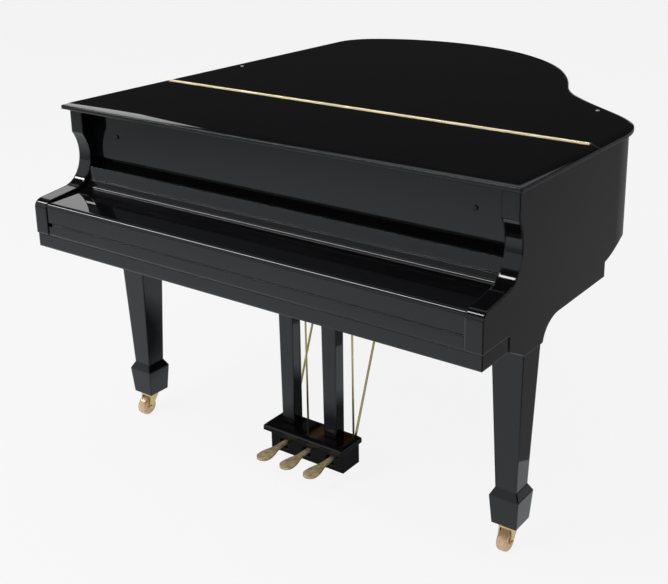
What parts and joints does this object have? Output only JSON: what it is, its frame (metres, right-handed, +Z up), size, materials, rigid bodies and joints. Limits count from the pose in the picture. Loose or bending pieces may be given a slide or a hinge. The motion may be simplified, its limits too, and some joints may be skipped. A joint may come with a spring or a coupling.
{
  "type": "grand piano",
  "caption": "Small grand piano in black gloss lacquer with a folding lid, fallboard, keys, sprung pedals on a lyre and legs on brass casters.",
  "frame": {"origin": "on the floor, under the middle of the whole outline", "axes": "+X to the treble end (the player's right), +Y from the keyboard to the tail, +Z up"},
  "size_m": [1.466, 1.661, 1.024],
  "materials": {
    "black_lacquer": "black high-gloss polyester lacquer",
    "brass": "polished",
    "rubber": "matte",
    "bare_wood": "clear satin",
    "spruce": "clear gloss",
    "plate_bronze_paint": "bronze paint",
    "steel": "polished wire",
    "copper_winding": "copper wound",
    "felt": "felt",
    "natural_keys": "gloss",
    "sharp_keys": "satin"
  },
  "bodies": {
    "case": {"outer_rim": "black_lacquer", "inner_rim": "bare_wood", "back_beams": "bare_wood", "keybed": "black_lacquer", "key_slip": "black_lacquer", "key_blocks": "black_lacquer", "stretcher": "black_lacquer", "rubber_buttons": "rubber", "pinblock": "bare_wood", "iron_plate": "plate_bronze_paint", "tuning_pins": "steel", "soundboard": "spruce", "bridges": "bare_wood", "bass_strings": "copper_winding", "treble_strings": "steel", "legs": "black_lacquer", "caster_sockets": "brass", "lyre_frame": "black_lacquer", "pedal_box": "black_lacquer", "lyre_braces": "brass", "music_shelf": "black_lacquer", "rim_hardware": "brass"},
    "lid": {"lid": "black_lacquer", "lid_hinges": "brass", "flap_hinge_lid": "brass"},
    "lid_flap": {"lid_flap": "black_lacquer", "flap_hinge_flap": "brass"},
    "lid_prop": {"lid_prop": "black_lacquer"},
    "fallboard": {"fallboard": "black_lacquer"},
    "music_desk": {"music_desk": "black_lacquer"},
    "action": {"action_frame": "bare_wood"},
    "hammers": {"hammers": "bare_wood"},
    "dampers": {"dampers": "felt"},
    "keys_c": {"keys_c": "natural_keys"},
    "keys_d": {"keys_d": "natural_keys"},
    "keys_e": {"keys_e": "natural_keys"},
    "keys_f": {"keys_f": "natural_keys"},
    "keys_g": {"keys_g": "natural_keys"},
    "keys_a": {"keys_a": "natural_keys"},
    "keys_b": {"keys_b": "natural_keys"},
    "keys_c_sharp": {"keys_c_sharp": "sharp_keys"},
    "keys_d_sharp": {"keys_d_sharp": "sharp_keys"},
    "keys_f_sharp": {"keys_f_sharp": "sharp_keys"},
    "keys_g_sharp": {"keys_g_sharp": "sharp_keys"},
    "keys_a_sharp": {"keys_a_sharp": "sharp_keys"},
    "pedal_left": {"pedal_left": "brass"},
    "pedal_rod_left": {"pedal_rod_left": "brass"},
    "trap_lever_left": {"trap_lever_left": "bare_wood"},
    "pedal_middle": {"pedal_middle": "brass"},
    "pedal_rod_middle": {"pedal_rod_middle": "brass"},
    "trap_lever_middle": {"trap_lever_middle": "bare_wood"},
    "pedal_right": {"pedal_right": "brass"},
    "pedal_rod_right": {"pedal_rod_right": "brass"},
    "trap_lever_right": {"trap_lever_right": "bare_wood"},
    "caster_fork_left": {"caster_fork_left": "brass"},
    "caster_wheel_left": {"caster_wheel_left": "brass"},
    "caster_fork_right": {"caster_fork_right": "brass"},
    "caster_wheel_right": {"caster_wheel_right": "brass"},
    "caster_fork_rear": {"caster_fork_rear": "brass"},
    "caster_wheel_rear": {"caster_wheel_rear": "brass"}
  },
  "joints": [
    {"name": "lid_open", "type": "hinge", "parent": "case", "child": "lid", "pos_m": [-0.7264, 0, 0.9966], "axis": [0, -1, 0], "range_deg": [0, 22]},
    {"name": "flap_fold", "type": "hinge", "parent": "lid", "child": "lid_flap", "pos_m": [0, -0.2975, 1.0214], "axis": [-1, 0, 0], "range_deg": [0, 178]},
    {"name": "prop_swing", "type": "hinge", "parent": "case", "child": "lid_prop", "pos_m": [0.39501, 0.13053, 0.948], "axis": [-0.868, -0.273, -0.4147], "range_deg": [0, 50.2]},
    {"name": "fallboard_open", "type": "hinge", "parent": "case", "child": "fallboard", "pos_m": [0, -0.6595, 0.79], "axis": [-1, 0, 0], "range_deg": [0, 106.5]},
    {"name": "desk_tilt", "type": "hinge", "parent": "case", "child": "music_desk", "pos_m": [0, -0.6055, 0.99], "axis": [1, 0, 0], "range_deg": [0, 70.2]},
    {"name": "action_shift", "type": "slide", "parent": "case", "child": "action", "axis": [1, 0, 0], "range_m": [0, 0.003]},
    {"name": "damper_lift", "type": "slide", "parent": "case", "child": "dampers", "axis": [0, 0, 1], "range_m": [0, 0.00505]},
    {"name": "hammer_strike", "type": "hinge", "parent": "action", "child": "hammers", "pos_m": [0, -0.5475, 0.83], "axis": [1, 0, 0], "range_deg": [0, 25]},
    {"name": "keys_c_press", "type": "hinge", "parent": "action", "child": "keys_c", "pos_m": [0, -0.5845, 0.7017], "axis": [1, 0, 0], "range_deg": [0, 2.4], "stiffness_Nm_per_rad": 3, "springref_deg": -11.46},
    {"name": "keys_d_press", "type": "hinge", "parent": "action", "child": "keys_d", "pos_m": [0, -0.5845, 0.7017], "axis": [1, 0, 0], "range_deg": [0, 2.4], "stiffness_Nm_per_rad": 3, "springref_deg": -11.46},
    {"name": "keys_e_press", "type": "hinge", "parent": "action", "child": "keys_e", "pos_m": [0, -0.5845, 0.7017], "axis": [1, 0, 0], "range_deg": [0, 2.4], "stiffness_Nm_per_rad": 3, "springref_deg": -11.46},
    {"name": "keys_f_press", "type": "hinge", "parent": "action", "child": "keys_f", "pos_m": [0, -0.5845, 0.7017], "axis": [1, 0, 0], "range_deg": [0, 2.4], "stiffness_Nm_per_rad": 3, "springref_deg": -11.46},
    {"name": "keys_g_press", "type": "hinge", "parent": "action", "child": "keys_g", "pos_m": [0, -0.5845, 0.7017], "axis": [1, 0, 0], "range_deg": [0, 2.4], "stiffness_Nm_per_rad": 3, "springref_deg": -11.46},
    {"name": "keys_a_press", "type": "hinge", "parent": "action", "child": "keys_a", "pos_m": [0, -0.5845, 0.7017], "axis": [1, 0, 0], "range_deg": [0, 2.4], "stiffness_Nm_per_rad": 3, "springref_deg": -11.46},
    {"name": "keys_b_press", "type": "hinge", "parent": "action", "child": "keys_b", "pos_m": [0, -0.5845, 0.7017], "axis": [1, 0, 0], "range_deg": [0, 2.4], "stiffness_Nm_per_rad": 3, "springref_deg": -11.46},
    {"name": "keys_c_sharp_press", "type": "hinge", "parent": "action", "child": "keys_c_sharp", "pos_m": [0, -0.5845, 0.7017], "axis": [1, 0, 0], "range_deg": [0, 2.4], "stiffness_Nm_per_rad": 3, "springref_deg": -11.46},
    {"name": "keys_d_sharp_press", "type": "hinge", "parent": "action", "child": "keys_d_sharp", "pos_m": [0, -0.5845, 0.7017], "axis": [1, 0, 0], "range_deg": [0, 2.4], "stiffness_Nm_per_rad": 3, "springref_deg": -11.46},
    {"name": "keys_f_sharp_press", "type": "hinge", "parent": "action", "child": "keys_f_sharp", "pos_m": [0, -0.5845, 0.7017], "axis": [1, 0, 0], "range_deg": [0, 2.4], "stiffness_Nm_per_rad": 3, "springref_deg": -11.46},
    {"name": "keys_g_sharp_press", "type": "hinge", "parent": "action", "child": "keys_g_sharp", "pos_m": [0, -0.5845, 0.7017], "axis": [1, 0, 0], "range_deg": [0, 2.4], "stiffness_Nm_per_rad": 3, "springref_deg": -11.46},
    {"name": "keys_a_sharp_press", "type": "hinge", "parent": "action", "child": "keys_a_sharp", "pos_m": [0, -0.5845, 0.7017], "axis": [1, 0, 0], "range_deg": [0, 2.4], "stiffness_Nm_per_rad": 3, "springref_deg": -11.46},
    {"name": "pedal_left_press", "type": "hinge", "parent": "case", "child": "pedal_left", "pos_m": [-0.083, -0.5045, 0.0705], "axis": [1, 0, 0], "range_deg": [0, 9.52], "stiffness_Nm_per_rad": 30, "springref_deg": -4.58},
    {"name": "pedal_rod_left_rise", "type": "slide", "parent": "case", "child": "pedal_rod_left", "axis": [0, 0, 1], "range_m": [0, 0.0128]},
    {"name": "trap_lever_left_tip", "type": "hinge", "parent": "case", "child": "trap_lever_left", "pos_m": [-0.083, -0.3155, 0.606], "axis": [-1, 0, 0], "range_deg": [0, 6.5]},
    {"name": "pedal_middle_press", "type": "hinge", "parent": "case", "child": "pedal_middle", "pos_m": [0, -0.5045, 0.0705], "axis": [1, 0, 0], "range_deg": [0, 9.5], "stiffness_Nm_per_rad": 30, "springref_deg": -4.58},
    {"name": "pedal_rod_middle_rise", "type": "slide", "parent": "case", "child": "pedal_rod_middle", "axis": [0, 0, 1], "range_m": [0, 0.0128]},
    {"name": "trap_lever_middle_tip", "type": "hinge", "parent": "case", "child": "trap_lever_middle", "pos_m": [0, -0.3155, 0.606], "axis": [-1, 0, 0], "range_deg": [0, 6.5]},
    {"name": "pedal_right_press", "type": "hinge", "parent": "case", "child": "pedal_right", "pos_m": [0.083, -0.5045, 0.0705], "axis": [1, 0, 0], "range_deg": [0, 9.5], "stiffness_Nm_per_rad": 30, "springref_deg": -4.58},
    {"name": "pedal_rod_right_rise", "type": "slide", "parent": "case", "child": "pedal_rod_right", "axis": [0, 0, 1], "range_m": [0, 0.0128]},
    {"name": "trap_lever_right_tip", "type": "hinge", "parent": "case", "child": "trap_lever_right", "pos_m": [0.083, -0.3155, 0.606], "axis": [-1, 0, 0], "range_deg": [0, 6.5]},
    {"name": "caster_left_swivel", "type": "hinge", "parent": "case", "child": "caster_fork_left", "pos_m": [-0.642, -0.5235, 0.0735], "axis": [0, 0, 1], "continuous": true},
    {"name": "caster_left_roll", "type": "hinge", "parent": "caster_fork_left", "child": "caster_wheel_left", "pos_m": [-0.642, -0.5475, 0.028], "axis": [1, 0, 0], "continuous": true},
    {"name": "caster_right_swivel", "type": "hinge", "parent": "case", "child": "caster_fork_right", "pos_m": [0.642, -0.5235, 0.0735], "axis": [0, 0, 1], "continuous": true},
    {"name": "caster_right_roll", "type": "hinge", "parent": "caster_fork_right", "child": "caster_wheel_right", "pos_m": [0.642, -0.5475, 0.028], "axis": [1, 0, 0], "continuous": true},
    {"name": "caster_rear_swivel", "type": "hinge", "parent": "case", "child": "caster_fork_rear", "pos_m": [-0.24995, 0.55051, 0.0735], "axis": [0, 0, 1], "continuous": true},
    {"name": "caster_rear_roll", "type": "hinge", "parent": "caster_fork_rear", "child": "caster_wheel_rear", "pos_m": [-0.24995, 0.52651, 0.028], "axis": [1, 0, 0], "continuous": true}
  ],
  "couplings": [
    {"joint": "prop_swing", "follows": "lid_open", "ratio": 2.2727},
    {"joint": "desk_tilt", "follows": "flap_fold", "ratio": 0.39326},
    {"joint": "pedal_left_press", "follows": "action_shift", "rad_per_m": 55.263},
    {"joint": "pedal_rod_left_rise", "follows": "action_shift", "ratio": 4.2},
    {"joint": "trap_lever_left_tip", "follows": "action_shift", "rad_per_m": 37.521},
    {"joint": "pedal_rod_middle_rise", "follows": "pedal_middle_press", "m_per_rad": 0.076},
    {"joint": "trap_lever_middle_tip", "follows": "pedal_middle_press", "ratio": 0.67895},
    {"joint": "pedal_rod_right_rise", "follows": "pedal_right_press", "m_per_rad": 0.076},
    {"joint": "trap_lever_right_tip", "follows": "pedal_right_press", "ratio": 0.67895},
    {"joint": "damper_lift", "follows": "pedal_right_press", "m_per_rad": 0.03016}
  ]
}
